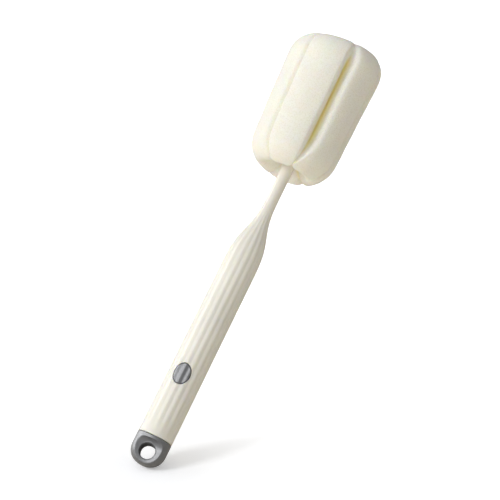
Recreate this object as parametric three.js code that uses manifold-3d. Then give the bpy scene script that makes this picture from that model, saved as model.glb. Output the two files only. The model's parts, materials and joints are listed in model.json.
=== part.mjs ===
// Long-handled cup brush: fluted handle, six-lobed foam head, push button that sends the head off.
// Millimetres. Z runs along the brush from its hanging end to its sponge, and the button faces -Y.
// The origin is on the axis at the middle of the grip, where a hand holds it.
import * as THREE from 'three';
import { mergeVertices } from 'three/addons/utils/BufferGeometryUtils.js';
import Module from 'manifold-3d';

const wasm = await Module();
wasm.setup();

// Lengths along the brush
const tailToOrigin = 82;
const tailToHole = 8.9;
const tailToSeam = 19.1;
const tailToButton = 61.5;
const gripLength = 117.9;
const shoulderLength = 53.4;
const neckLength = 59.6;
const bareNeckLength = 16.5;
const spongeLength = 90.7;

// Handle
const gripDiameterTail = 23;
const gripDiameterShoulder = 22.5;
const shoulderSteepness = 2.3;
const neckDiameter = 7.9;
const gripBore = 18.2;
const neckBore = 3.6;
const shellWall = 2.6;
const fluteCount = 16;
const fluteDepth = 0.36;
const fluteFade = 14;
const edgeBreak = 0.35;

// End cap
const tailDepth = 11;
const tailFullness = 2.2;
const hangHoleDiameter = 9.9;
const hangRimChamfer = 0.9;
const hangTabThickness = 12.2;
const scoopRadius = 5.4;
const scoopRise = 7.8;
const dishRadius = 22;
const dishFlat = 1.5;
const capClock = 7;
const spigotLength = 13;
const spigotWall = 2.2;

// Button and release
const buttonLength = 13.6;
const buttonWidth = 10.4;
const buttonTravel = 3;
const buttonFlange = 1.4;
const flangeThickness = 1.5;
const wedgeWidth = 5;
const wedgeBack = 3.2;
const rampStart = 1;
const blockDiameter = 7.2;
const blockLand = 8;
const troughWall = 1.5;
const carrierPlate = 2.4;
const rodDiameter = 3;
const rodGripDepth = 7;
const washerThickness = 0.8;
const springLength = 13;
const springDiameter = 6;
const springWire = 0.7;
const springTurns = 6;
const ejectorDiameter = 6.2;
const ejectorThickness = 2.6;
const ejectorCupDepth = 1.6;

// Rings
const capRingSection = 1.3;
const gripRingSection = 1.2;
const gripRingFromTip = 5;
const rodSealLength = 1.6;
const rodSealDiameter = 5.2;

// Head
const socketWall = 1.9;
const socketInset = 11;
const socketEnd = 2.2;
const barbHeight = 1.2;
const barbCount = 4;
const keyLength = 18;
const keyFromTip = 12;
const keyWidth = 1.8;
const keyHeight = 1;
const lobeCount = 6;
const spongeDiameterLow = 56.8;
const spongeDiameterHigh = 61.4;
const spongeRoundLow = [11, 16];
const spongeRoundHigh = [11.8, 14.6];
const undersideHollow = 7;
const grooveDepth = 8;
const grooveHalfMouth = 4.6;
const grooveHalfSlit = 0.6;
const grooveEdges = [0.5, 1.2];
const groovePress = 0.7;
const endDimple = 6;
const foamLean = 0.016;
const foamTilt = 0.1;
const undersideTilt = 0.05;
const undersideRock = 0.06;
const undersideArch = 3;
const foamAside = 1.2;

// Fits
const gap = 0.3;
const windowGap = 0.35;
const ringGap = 0.05;
const pressGap = 0.04;

// Fineness
const roundSteps = 28;
const capSteps = 48;
const holeSteps = 36;
const fluteSteps = 5;
const lobeSteps = 12;

// Stations along Z
const zTail = -tailToOrigin;
const zHole = zTail + tailToHole;
const zSeam = zTail + tailToSeam;
const zButton = zTail + tailToButton;
const zShoulder = zSeam + gripLength;
const zNeck = zShoulder + shoulderLength;
const zTip = zNeck + neckLength;
const zSponge = zNeck + bareNeckLength;
const zSpongeTop = zSponge + spongeLength;

const boreRadius = gripBore / 2;
const neckRadius = neckDiameter / 2;
const rodRadius = rodDiameter / 2;
const blockRadius = blockDiameter / 2;

// Closed solid from a three.js geometry.
function solidOf(geometry) {
  const bare = geometry.index ? geometry.clone() : mergeVertices(geometry);
  bare.deleteAttribute('normal');
  bare.deleteAttribute('uv');
  const merged = mergeVertices(bare, 1e-5);
  const mesh = new wasm.Mesh({
    numProp: 3,
    vertProperties: new Float32Array(merged.attributes.position.array),
    triVerts: new Uint32Array(merged.index.array),
  });
  mesh.merge();
  return new wasm.Manifold(mesh);
}

// three.js geometry from a closed solid.
function geometryOf(solid) {
  const mesh = solid.getMesh();
  const geometry = new THREE.BufferGeometry();
  geometry.setAttribute('position', new THREE.BufferAttribute(mesh.vertProperties, 3));
  geometry.setIndex(new THREE.BufferAttribute(mesh.triVerts, 1));
  geometry.computeVertexNormals();
  return geometry;
}

// Turned shape about Z from [radius, height] points.
function turnedGeometry(profile, steps = roundSteps) {
  const points = profile.map(([radius, height]) => new THREE.Vector2(radius, height));
  return new THREE.LatheGeometry(points, steps).rotateX(Math.PI / 2);
}

function turned(profile, steps = roundSteps) {
  return solidOf(turnedGeometry(profile, steps));
}

function cylinder(radius, low, high) {
  return turned([[0, low], [radius, low], [radius, high], [0, high]]);
}

// Round ring of circular section, its middle at the given radius and height.
function ring(middleRadius, sectionRadius, height, sides = 6) {
  const profile = [];
  for (let k = 0; k <= sides; k += 1) {
    const turn = (2 * Math.PI * k) / sides;
    profile.push([middleRadius + sectionRadius * Math.cos(turn), height + sectionRadius * Math.sin(turn)]);
  }
  profile[sides] = [...profile[0]];
  return turned(profile);
}

function box([lowX, lowY, lowZ], [highX, highY, highZ]) {
  const geometry = new THREE.BoxGeometry(highX - lowX, highY - lowY, highZ - lowZ);
  geometry.translate((lowX + highX) / 2, (lowY + highY) / 2, (lowZ + highZ) / 2);
  return solidOf(geometry);
}

// Oval bar along Y in front of the axis, centred at the button.
function ovalBar(halfWidth, halfLength, reach) {
  const shape = new THREE.Shape();
  shape.absellipse(0, 0, halfWidth, halfLength, 0, 2 * Math.PI, false, 0);
  const options = { depth: reach, bevelEnabled: false, curveSegments: 20 };
  const geometry = new THREE.ExtrudeGeometry(shape, options);
  geometry.rotateX(Math.PI / 2);
  geometry.translate(0, 0, zButton);
  return solidOf(geometry);
}

// Handle outside: a straight grip, an S-shaped shoulder and a straight neck.
function handleRadius(z) {
  const along = THREE.MathUtils.clamp((z - zSeam) / gripLength, 0, 1);
  const grip = THREE.MathUtils.lerp(gripDiameterTail, gripDiameterShoulder, along) / 2;
  const fall = (z - zShoulder) / shoulderLength;
  if (fall <= 0) return grip;
  if (fall >= 1) return neckRadius;
  const share = 1 / (1 + (fall / (1 - fall)) ** shoulderSteepness);
  return neckRadius + (grip - neckRadius) * share;
}

// Flutes are full on the grip and die out at the seam and along the shoulder.
function fluteHeight(angle, z) {
  const rise = THREE.MathUtils.smoothstep(z, zSeam + 1, zSeam + fluteFade);
  const girth = (handleRadius(z) - neckRadius) / (gripDiameterShoulder / 2 - neckRadius);
  const ridge = Math.cos(fluteCount * (angle + Math.PI / 2));
  return (fluteDepth / 2) * rise * Math.min(1, girth) * ridge;
}

const socketRadius = neckRadius + gap;
const neckGroove = socketRadius - gripRingSection - 3 * ringGap;
const zGripRing = zTip - gripRingFromTip;
const grooveHalf = gripRingSection / 2 + gap / 2;

// Heights at which the handle's outside is drawn.
function handleStations() {
  const stations = [];
  for (let k = 0; k <= 3; k += 1) stations.push(zSeam + edgeBreak + ((fluteFade - edgeBreak) * k) / 3);
  for (let k = 0; k <= 11; k += 1) stations.push(zShoulder + (shoulderLength * k) / 11);
  return stations;
}

function handleOutside() {
  const profile = [[0, zSeam], [handleRadius(zSeam) - edgeBreak, zSeam]];
  for (const z of handleStations()) profile.push([handleRadius(z), z]);
  profile.push([neckRadius, zGripRing - grooveHalf]);
  profile.push([neckGroove, zGripRing - grooveHalf]);
  profile.push([neckGroove, zGripRing + grooveHalf]);
  profile.push([neckRadius, zGripRing + grooveHalf]);
  profile.push([neckRadius, zTip - edgeBreak]);
  profile.push([neckRadius - edgeBreak, zTip]);
  profile.push([0, zTip]);
  const geometry = turnedGeometry(profile, fluteCount * fluteSteps);
  const position = geometry.attributes.position;
  for (let i = 0; i < position.count; i += 1) {
    const x = position.getX(i);
    const y = position.getY(i);
    const radius = Math.hypot(x, y);
    if (radius > 1e-6) {
      const swell = 1 + fluteHeight(Math.atan2(y, x), position.getZ(i)) / radius;
      position.setXY(i, x * swell, y * swell);
    }
  }
  return solidOf(geometry);
}

const outside = handleOutside();

// Release: places that the carrier, block, spring and rod share
const troughRadius = blockRadius + gap;
const zRamp = zButton + rampStart;
const zBlockFront = zRamp + blockRadius + blockLand;
const zWasherFront = zBlockFront + gap / 2 + washerThickness;
const zSpringEnd = zWasherFront + gap / 2 + springLength;
const zPlateFront = zSpringEnd + gap / 2 + carrierPlate;
const zSpigotEnd = zSeam + spigotLength;
const zPlateRear = zSpigotEnd + gap;
const plateRadius = boreRadius - gap;
const stepRadius = boreRadius - shellWall / 2;

// Handle inside: wide bore for the release, step that stops the carrier, taper, rod bore, seal pocket.
function handleInside() {
  const profile = [[0, zSeam - 1], [boreRadius, zSeam - 1]];
  profile.push([boreRadius, zPlateFront + gap]);
  profile.push([stepRadius, zPlateFront + gap]);
  const steps = 8;
  for (let k = 0; k <= steps; k += 1) {
    const z = zShoulder + (shoulderLength * k) / steps;
    const radius = Math.min(stepRadius, handleRadius(z) - shellWall);
    profile.push([Math.max(radius, neckBore / 2), z]);
  }
  const zPocket = zTip - rodSealLength - gap;
  profile.push([neckBore / 2, zPocket]);
  profile.push([rodSealDiameter / 2 + gap / 2, zPocket]);
  profile.push([rodSealDiameter / 2 + gap / 2, zTip + 1]);
  profile.push([0, zTip + 1]);
  return turned(profile);
}

// Two keys stand out of the neck inside the head and stop it turning.
function keys(spare) {
  const reach = neckRadius + keyHeight + spare;
  const half = keyWidth / 2 + spare;
  const low = zTip - keyFromTip - keyLength - (spare ? spongeLength : 0);
  return box([-reach, -half, low], [reach, half, zTip - keyFromTip + spare]);
}

function handleShell() {
  const window = ovalBar(buttonWidth / 2 + windowGap, buttonLength / 2 + windowGap, gripDiameterTail);
  return outside.add(keys(0)).subtract(handleInside()).subtract(window);
}

// End cap: rounded tail scooped to a pierced tab, and a hollow spigot that plugs the grip.
const spigotRadius = boreRadius - gap;
const capGroove = boreRadius - capRingSection - 3 * ringGap;
const zCapRing = zSeam + spigotLength / 2;

function capBody() {
  const radius = handleRadius(zSeam);
  const profile = [];
  const steps = 11;
  for (let k = 0; k <= steps; k += 1) {
    const turn = (Math.PI / 2) * (k / steps);
    const out = Math.sin(turn) ** (2 / tailFullness);
    const down = Math.cos(turn) ** (2 / tailFullness);
    profile.push([k === 0 ? 0 : radius * out, zTail + tailDepth * (1 - down)]);
  }
  const face = zSeam - gap;
  const half = capRingSection / 2 + gap / 2;
  const hollow = spigotRadius - spigotWall;
  profile.push([radius, face - edgeBreak]);
  profile.push([radius - edgeBreak, face]);
  profile.push([spigotRadius, face]);
  profile.push([spigotRadius, zCapRing - half]);
  profile.push([capGroove, zCapRing - half]);
  profile.push([capGroove, zCapRing + half]);
  profile.push([spigotRadius, zCapRing + half]);
  profile.push([spigotRadius, zSpigotEnd]);
  profile.push([hollow, zSpigotEnd]);
  profile.push([hollow, zSeam + spigotWall]);
  profile.push([0, zSeam + spigotWall]);
  return turned(profile, capSteps);
}

// Scoop: takes one face of the cap down to the tab, with a hollow curve up to the full body.
function scoop(side) {
  const face = hangTabThickness / 2;
  const foot = zHole + scoopRise - scoopRadius;
  const far = gripDiameterTail;
  const shape = new THREE.Shape();
  shape.moveTo(zTail - 1, face);
  const steps = 8;
  for (let k = 0; k <= steps; k += 1) {
    const turn = (Math.PI / 2) * (k / steps);
    shape.lineTo(foot + scoopRadius * Math.sin(turn), face + scoopRadius * (1 - Math.cos(turn)));
  }
  shape.lineTo(foot + scoopRadius, far);
  shape.lineTo(zTail - 1, far);
  shape.closePath();
  const geometry = new THREE.ExtrudeGeometry(shape, { depth: 2 * far, bevelEnabled: false });
  geometry.translate(0, 0, -far);
  geometry.rotateY(-Math.PI / 2);
  if (side < 0) geometry.rotateZ(Math.PI);
  return solidOf(geometry);
}

// Dish: hollow of one face from side to side, with a narrow flat down its middle.
function dish(side) {
  const face = hangTabThickness / 2;
  const far = gripDiameterTail;
  const reach = far / 2 + 1;
  const stations = [dishFlat, 0.28 * reach, 0.5 * reach, 0.75 * reach, reach];
  const shape = new THREE.Shape();
  shape.moveTo(reach, -far);
  shape.lineTo(-reach, -far);
  for (const x of [...stations.map((station) => -station).reverse(), ...stations]) {
    const out = Math.abs(x) - dishFlat;
    shape.lineTo(x, -face - dishRadius + Math.sqrt(dishRadius ** 2 - out ** 2));
  }
  shape.closePath();
  const geometry = new THREE.ExtrudeGeometry(shape, { depth: 2 * far, bevelEnabled: false });
  geometry.translate(0, 0, zHole - far);
  if (side > 0) geometry.rotateZ(Math.PI);
  return solidOf(geometry);
}

function hangHole() {
  const half = hangTabThickness / 2;
  const radius = hangHoleDiameter / 2;
  const spare = 3;
  const mouth = radius + hangRimChamfer + spare;
  const geometry = turnedGeometry([
    [0, -half - spare], [mouth, -half - spare], [radius, -half + hangRimChamfer],
    [radius, half - hangRimChamfer], [mouth, half + spare], [0, half + spare],
  ], holeSteps);
  geometry.rotateX(Math.PI / 2);
  geometry.translate(0, 0, zHole);
  return solidOf(geometry);
}

// The tab stands turned a little about the brush from the button's plane.
function endCap() {
  let cap = capBody();
  for (const side of [-1, 1]) cap = cap.subtract(scoop(side).intersect(dish(side)));
  return cap.subtract(hangHole()).rotate([0, 0, capClock]);
}

// Button: oval face cut from the handle's own fluted outside, a flange that keeps it in, a wedge.
const flangeOuter = boreRadius - gap;
const flangeInner = flangeOuter - flangeThickness;
const wedgeTip = Math.sqrt(troughRadius ** 2 - (wedgeWidth / 2) ** 2) - gap - buttonTravel;

function wedge() {
  const rampLine = zRamp - gap;
  const shape = new THREE.Shape();
  shape.moveTo(zButton - wedgeBack, -flangeInner - flangeThickness / 2);
  shape.lineTo(zButton - wedgeBack, wedgeTip);
  shape.lineTo(rampLine - wedgeTip, wedgeTip);
  shape.lineTo(rampLine + blockRadius, -blockRadius);
  shape.lineTo(rampLine + blockRadius, -flangeInner - flangeThickness / 2);
  shape.closePath();
  const geometry = new THREE.ExtrudeGeometry(shape, { depth: wedgeWidth, bevelEnabled: false });
  geometry.translate(0, 0, -wedgeWidth / 2);
  geometry.rotateY(-Math.PI / 2);
  return solidOf(geometry);
}

function releaseButton() {
  const halfWidth = buttonWidth / 2;
  const halfLength = buttonLength / 2;
  const low = zButton - buttonLength;
  const high = zButton + buttonLength;
  const reach = gripDiameterTail;
  const face = ovalBar(halfWidth, halfLength, reach).intersect(outside);
  const plug = face.subtract(cylinder(flangeOuter - 0.2, low, high));
  const flangeShell = cylinder(flangeOuter, low, high).subtract(cylinder(flangeInner, low - 1, high + 1));
  const flange = ovalBar(halfWidth + buttonFlange, halfLength + buttonFlange, reach).intersect(flangeShell);
  return plug.add(flange).add(wedge());
}

// Carrier: two round plates in the bore joined by a trough, open towards the button.
function releaseCarrier() {
  const troughOuter = troughRadius + troughWall;
  const zPlateRearEnd = zPlateRear + carrierPlate;
  const zPlateFrontStart = zPlateFront - carrierPlate;
  const openHalf = buttonLength / 2 + buttonFlange + gap * 3;
  const trough = cylinder(troughOuter, zPlateRearEnd - 1, zPlateFrontStart + 1);
  const opening = box(
    [-boreRadius, -boreRadius, zPlateRearEnd],
    [boreRadius, -gap, zButton + openHalf + buttonFlange],
  );
  const body = trough.subtract(opening)
    .add(cylinder(plateRadius, zPlateRear, zPlateRearEnd))
    .add(cylinder(plateRadius, zPlateFrontStart, zPlateFront));
  return body
    .subtract(cylinder(troughRadius, zPlateRearEnd, zPlateFrontStart))
    .subtract(cylinder(rodRadius + gap, zPlateFrontStart - 1, zPlateFront + 1));
}

// Cam block: round, with a 45 degree face that looks back towards the button.
function camBlock() {
  const low = zRamp - blockRadius;
  const half = blockDiameter * 2;
  const cut = new THREE.BoxGeometry(half * 2, half * 2, half * 2);
  cut.translate(0, 0, -half);
  cut.rotateX(-Math.PI / 4);
  cut.translate(0, 0, zRamp);
  const socket = cylinder(rodRadius + pressGap, zBlockFront - rodGripDepth, zBlockFront + 1);
  return cylinder(blockRadius, low, zBlockFront).subtract(solidOf(cut)).subtract(socket);
}

const zEjector = zTip + gap;
const zEjectorTop = zEjector + ejectorThickness;
const zRodEnd = zEjector + ejectorCupDepth - pressGap;

function pushRod() {
  return cylinder(rodRadius, zBlockFront - rodGripDepth + pressGap, zRodEnd);
}

function ejectorTip() {
  const radius = ejectorDiameter / 2;
  const cup = rodRadius + pressGap;
  return turned([
    [cup, zEjector], [radius, zEjector], [radius, zEjectorTop - edgeBreak],
    [radius - edgeBreak, zEjectorTop], [0, zEjectorTop],
    [0, zEjector + ejectorCupDepth], [cup, zEjector + ejectorCupDepth], [cup, zEjector],
  ]);
}

// Coil spring round the rod, between the washer and the carrier's front plate.
const coilRadius = (springDiameter - springWire) / 2;

class Coil extends THREE.Curve {
  getPoint(share, target = new THREE.Vector3()) {
    const turn = 2 * Math.PI * springTurns * share;
    const low = zSpringEnd - springLength + springWire;
    const rise = (springLength - 2 * springWire) * share;
    return target.set(coilRadius * Math.cos(turn), coilRadius * Math.sin(turn), low + rise);
  }
}

function returnSpring() {
  const shape = new THREE.Shape();
  for (let k = 0; k < 5; k += 1) {
    const turn = (2 * Math.PI * k) / 5;
    const x = (springWire / 2) * Math.cos(turn);
    const y = (springWire / 2) * Math.sin(turn);
    if (k === 0) shape.moveTo(x, y);
    else shape.lineTo(x, y);
  }
  shape.closePath();
  const options = { steps: springTurns * 8, bevelEnabled: false, extrudePath: new Coil() };
  return solidOf(new THREE.ExtrudeGeometry(shape, options));
}

function springSelfGap() {
  const points = new Coil().getPoints(springTurns * 24);
  let least = Infinity;
  for (let i = 0; i < points.length; i += 1) {
    for (let k = i + 12; k < points.length; k += 1) {
      least = Math.min(least, points[i].distanceTo(points[k]));
    }
  }
  return least - springWire;
}

// Socket in the foam: keyed bore that plugs on to the neck, closed end, ridges that hold the foam.
const coreRadius = socketRadius + socketWall;
const barbRadius = coreRadius + barbHeight;
const zCoreLow = zSponge + socketInset;
const zCoreFloor = zEjectorTop + gap;
const zCoreTop = zCoreFloor + socketEnd;
const foamMouth = neckRadius + keyHeight + gap;

function spongeCore() {
  const profile = [[0, zCoreLow], [coreRadius, zCoreLow]];
  const pitch = (zCoreTop - zCoreLow) / (barbCount + 1);
  for (let k = 0; k < barbCount; k += 1) {
    const low = zCoreLow + pitch * (k + 0.5);
    profile.push([coreRadius, low]);
    profile.push([barbRadius, low]);
    profile.push([coreRadius, low + pitch * 0.6]);
  }
  profile.push([coreRadius, zCoreTop]);
  profile.push([0, zCoreTop]);
  const bore = cylinder(socketRadius, zCoreLow - 1, zCoreFloor);
  return turned(profile).subtract(bore).subtract(keys(gap));
}

// Foam: the crest outline, hollow underneath, is pulled towards a smaller one where a groove runs.
function spongeCrest() {
  const low = spongeDiameterLow / 2;
  const high = spongeDiameterHigh / 2;
  const [lowOut, lowUp] = spongeRoundLow;
  const [highOut, highUp] = spongeRoundHigh;
  const foot = low - lowOut;
  const profile = [[0, zSponge + undersideHollow]];
  for (const share of [0.3, 0.55, 0.78]) {
    const hollow = 1 - THREE.MathUtils.smoothstep(foot * share, foamMouth, foot);
    profile.push([foot * share, zSponge + undersideHollow * hollow]);
  }
  const steps = 5;
  for (let k = 0; k <= steps; k += 1) {
    const turn = (Math.PI / 2) * (k / steps);
    profile.push([low - lowOut * (1 - Math.sin(turn)), zSponge + lowUp * (1 - Math.cos(turn))]);
  }
  const sideLow = zSponge + lowUp;
  const sideHigh = zSpongeTop - highUp;
  for (let k = 1; k < 4; k += 1) {
    profile.push([THREE.MathUtils.lerp(low, high, k / 4), THREE.MathUtils.lerp(sideLow, sideHigh, k / 4)]);
  }
  for (let k = 0; k <= steps; k += 1) {
    const turn = (Math.PI / 2) * (k / steps);
    profile.push([high - highOut * (1 - Math.cos(turn)), sideHigh + highUp * Math.sin(turn)]);
  }
  profile.push([high * 0.35, zSpongeTop], [0, zSpongeTop]);
  return profile;
}

// Grooves are closed at the lower edge, open up the side, die out over the top and show on the underside.
function grooveClosed(level) {
  return (1 - THREE.MathUtils.clamp((level - 0.01) / 0.26, 0, 1)) ** 2.2;
}

function grooveOpening(level, radius) {
  const closing = 1 - 0.4 * THREE.MathUtils.smoothstep(level, 0.86, 1);
  const edge = spongeDiameterLow / 2 - spongeRoundLow[0];
  const under = level < 0.5 ? 0.55 * (1 - THREE.MathUtils.smoothstep(radius, edge - 3, edge + 4)) : 0;
  return Math.max((1 - grooveClosed(level)) * closing, under);
}

// Half angle of a lobe: where the grooves close, every other lobe spreads and the rest keep their edges.
function lobeHalf(level, side) {
  const closing = grooveClosed(level) * (grooveHalfMouth - grooveHalfSlit);
  const spread = closing / (spongeDiameterLow / 2);
  return Math.PI / lobeCount - side * spread;
}

// Share of the groove's depth at a distance from the groove's middle plane.
function grooveShare(distance, opening, level, edge) {
  const mouth = THREE.MathUtils.lerp(grooveHalfSlit, grooveHalfMouth, opening);
  const soft = edge * (0.25 + 0.75 * opening);
  const rise = (x) => (Math.hypot(mouth - x, soft) + mouth - x) / 2;
  const depth = (0.1 + 0.9 * opening) * (1 - 0.85 * THREE.MathUtils.smoothstep(level, 0.85, 1));
  return (rise(Math.hypot(Math.max(distance, 0), 0.35 * soft)) / rise(0)) * depth;
}

// Each turned point moves round towards its groove, then in by its share of the groove. The groove at the
// left of the front lobe is pressed nearly shut.
function sponge() {
  const geometry = turnedGeometry(spongeCrest(), lobeCount * lobeSteps);
  const position = geometry.attributes.position;
  const middle = (zSponge + zSpongeTop) / 2;
  const shrinkOut = 1 - (2 * grooveDepth) / spongeDiameterHigh;
  const shrinkUp = 1 - (2 * endDimple) / spongeLength;
  const pitch = (2 * Math.PI) / lobeCount;
  for (let i = 0; i < position.count; i += 1) {
    const radius = Math.hypot(position.getX(i), position.getY(i));
    const z = position.getZ(i);
    const level = (z - zSponge) / spongeLength;
    const angle = Math.atan2(position.getY(i), position.getX(i)) + Math.PI / 2;
    const lobe = Math.round(angle / pitch);
    const off = THREE.MathUtils.clamp(Math.abs(angle - lobe * pitch) / (pitch / 2), 0, 1);
    const even = lobe % 2 === 0;
    const half = lobeHalf(level, even ? 1 : -1);
    const moved = (1 - (1 - off) ** 1.5) * half;
    const left = Math.floor(angle / pitch) === -1;
    const press = left ? groovePress * THREE.MathUtils.smoothstep(off, 0, 0.2) : 0;
    const opening = grooveOpening(level, radius) * (1 - press);
    const share = grooveShare(radius * Math.sin(half - moved), opening, level, grooveEdges[even ? 0 : 1]);
    const out = radius * (1 - share * (1 - shrinkOut));
    const turn = lobe * pitch + Math.sign(angle - lobe * pitch) * moved - Math.PI / 2;
    const fade = THREE.MathUtils.smoothstep(out, foamMouth, foamMouth + 4);
    const x = out * Math.cos(turn);
    const y = out * Math.sin(turn);
    const aside = (foamLean * (z - zSponge) + foamAside) * fade;
    const height = middle + (z - middle) * (1 - share * (1 - shrinkUp));
    const low = 1 - THREE.MathUtils.smoothstep(level, 0, 0.3);
    const arch = undersideArch * ((2 * x) / spongeDiameterLow) ** 2;
    const rise = foamTilt * x * level + (undersideTilt * x - undersideRock * y + arch) * low;
    position.setXYZ(i, x - aside, y, height + rise * fade);
  }
  const mouth = cylinder(foamMouth, zSponge - 1, zCoreLow);
  const pocket = cylinder(barbRadius + gap, zCoreLow - gap, zCoreTop + gap);
  return solidOf(geometry).subtract(mouth).subtract(pocket);
}

const cream = { color: 0xf1eee2, roughness: 0.38, metalness: 0 };
const grey = { color: 0x8b8d90, roughness: 0.62, metalness: 0 };
const white = { color: 0xe9e9e4, roughness: 0.5, metalness: 0 };
const black = { color: 0x2b2c2e, roughness: 0.85, metalness: 0 };
const steel = { color: 0xb9bdc1, roughness: 0.3, metalness: 0.9 };
const foam = { color: 0xf0ebd6, roughness: 0.95, metalness: 0 };

const sealMiddle = (rodRadius + rodSealDiameter / 2) / 2;
const sealHalf = rodSealDiameter / 2 - sealMiddle - ringGap;
const sealLow = zTip - rodSealLength - gap / 2;

function rodSeal() {
  return cylinder(sealMiddle + sealHalf, sealLow, zTip - gap / 2)
    .subtract(cylinder(rodRadius + ringGap, sealLow - 1, zTip + 1));
}

function springWasher() {
  const low = zBlockFront + gap / 2;
  return cylinder(springDiameter / 2 + gap, low, zWasherFront)
    .subtract(cylinder(rodRadius + gap / 2, low - 1, zWasherFront + 1));
}

const capRing = ring(capGroove + ringGap + capRingSection / 2, capRingSection / 2, zCapRing);
const gripRing = ring(neckGroove + ringGap + gripRingSection / 2, gripRingSection / 2, zGripRing);

const group = new THREE.Group();
group.name = 'cup_brush';

function place(name, solid, look) {
  const mesh = new THREE.Mesh(geometryOf(solid), new THREE.MeshStandardMaterial(look));
  mesh.name = name;
  group.add(mesh);
}

place('handle_shell', handleShell(), cream);
place('end_cap', endCap(), grey);
place('cap_seal', capRing, black);
place('release_carrier', releaseCarrier(), white);
place('release_button', releaseButton(), grey);
place('cam_block', camBlock(), white);
place('push_rod', pushRod(), steel);
place('return_spring', returnSpring(), steel);
place('spring_washer', springWasher(), steel);
place('rod_seal', rodSeal(), black);
place('grip_ring', gripRing, black);
place('ejector_tip', ejectorTip(), white);
place('sponge_core', spongeCore(), white);
place('sponge', sponge(), foam);

console.log(`least gap between the spring's turns ${springSelfGap().toFixed(2)} mm`);

export default group;
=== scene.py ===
import json
import math
from functools import partial

import bmesh
import bpy
import numpy as np
from mathutils import Matrix, Vector


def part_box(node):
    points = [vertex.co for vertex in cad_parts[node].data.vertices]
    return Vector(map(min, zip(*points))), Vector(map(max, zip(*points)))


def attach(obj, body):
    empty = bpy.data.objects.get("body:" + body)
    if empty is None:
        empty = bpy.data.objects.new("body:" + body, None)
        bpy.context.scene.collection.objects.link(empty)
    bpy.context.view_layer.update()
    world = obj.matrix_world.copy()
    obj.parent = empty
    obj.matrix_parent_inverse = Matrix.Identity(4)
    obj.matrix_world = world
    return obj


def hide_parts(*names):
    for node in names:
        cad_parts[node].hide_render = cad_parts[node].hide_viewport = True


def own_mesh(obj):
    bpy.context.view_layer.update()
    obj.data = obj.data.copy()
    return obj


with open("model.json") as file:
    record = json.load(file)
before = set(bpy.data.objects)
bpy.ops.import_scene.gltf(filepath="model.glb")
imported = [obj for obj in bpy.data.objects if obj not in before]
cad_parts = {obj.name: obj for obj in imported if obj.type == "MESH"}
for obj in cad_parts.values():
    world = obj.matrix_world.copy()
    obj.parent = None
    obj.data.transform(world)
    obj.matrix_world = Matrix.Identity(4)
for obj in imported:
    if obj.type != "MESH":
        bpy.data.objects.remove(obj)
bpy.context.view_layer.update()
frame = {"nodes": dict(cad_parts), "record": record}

bl_info = {
    "name": "Long-handled cup brush",
    "version": (1, 0, 0),
    "blender": (4, 5, 0),
    "location": "View3D > Sidebar > Cup brush",
    "description": "Builds the looks of a long-handled cup brush with a six-lobed foam head",
    "category": "Object",
}

MM = 0.001
HANDLE_LOW, HANDLE_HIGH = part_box("handle_shell")
CAP_LOW, CAP_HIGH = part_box("end_cap")
BUTTON_LOW, BUTTON_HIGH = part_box("release_button")
CORE_LOW, CORE_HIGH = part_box("sponge_core")
TIP_LOW, TIP_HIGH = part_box("ejector_tip")
SEAL_LOW, SEAL_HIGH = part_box("rod_seal")
CAP_RING_LOW, CAP_RING_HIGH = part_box("cap_seal")
RING_LOW, RING_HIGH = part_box("grip_ring")
SPRING_LOW, SPRING_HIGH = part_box("return_spring")
HANG_LAND = next(m for m in frame["record"]["mounts"] if m["name"] == "hang_land_front")
HANG_BOX = frame["record"]["physics"]["openings"][0]["box_m"]
HOLE_Z = (HANG_BOX[0][2] + HANG_BOX[1][2]) / 2
TAB_HALF = sum(place * axis for place, axis in zip(HANG_LAND["pos_m"], HANG_LAND["axis"]))
TAB_TURN = math.atan2(HANG_LAND["axis"][0], -HANG_LAND["axis"][1])
BUTTON_Z = (BUTTON_LOW.z + BUTTON_HIGH.z) / 2
RING_Z = (RING_LOW.z + RING_HIGH.z) / 2
SEAL_FLOOR = SEAL_LOW.z - 0.15 * MM
# Gap between pieces that plug or slide together, and spare room round a rubber ring in its groove
GAP, RING_SPARE = 0.3 * MM, 0.2 * MM
# Points this close are one point, and edges this short are dropped
SAME_POINT, NO_EDGE = 1e-6, 1e-7
# Steps of a rounded edge, and the angle in degrees at which a rim starts
EDGE_STEPS, RIM_START = 6, 15.0


def length(name, description, default_mm):
    """A length property whose default is given in millimetres."""
    return bpy.props.FloatProperty(
        name=name, description=description, default=default_mm * MM, unit="LENGTH", precision=5
    )


def degrees(name, description, default):
    """An angle property whose default is given in degrees."""
    return bpy.props.FloatProperty(
        name=name, description=description, default=math.radians(default), subtype="ANGLE"
    )


def number(name, description, default):
    """A plain number, or a count where the default is a whole number."""
    kind = bpy.props.IntProperty if isinstance(default, int) else bpy.props.FloatProperty
    return kind(name=name, description=description, default=default)


def colour(name, description, default):
    """A colour property in linear light."""
    return bpy.props.FloatVectorProperty(
        name=name, description=description, default=default, size=3, min=0.0, max=1.0, subtype="COLOR"
    )


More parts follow.
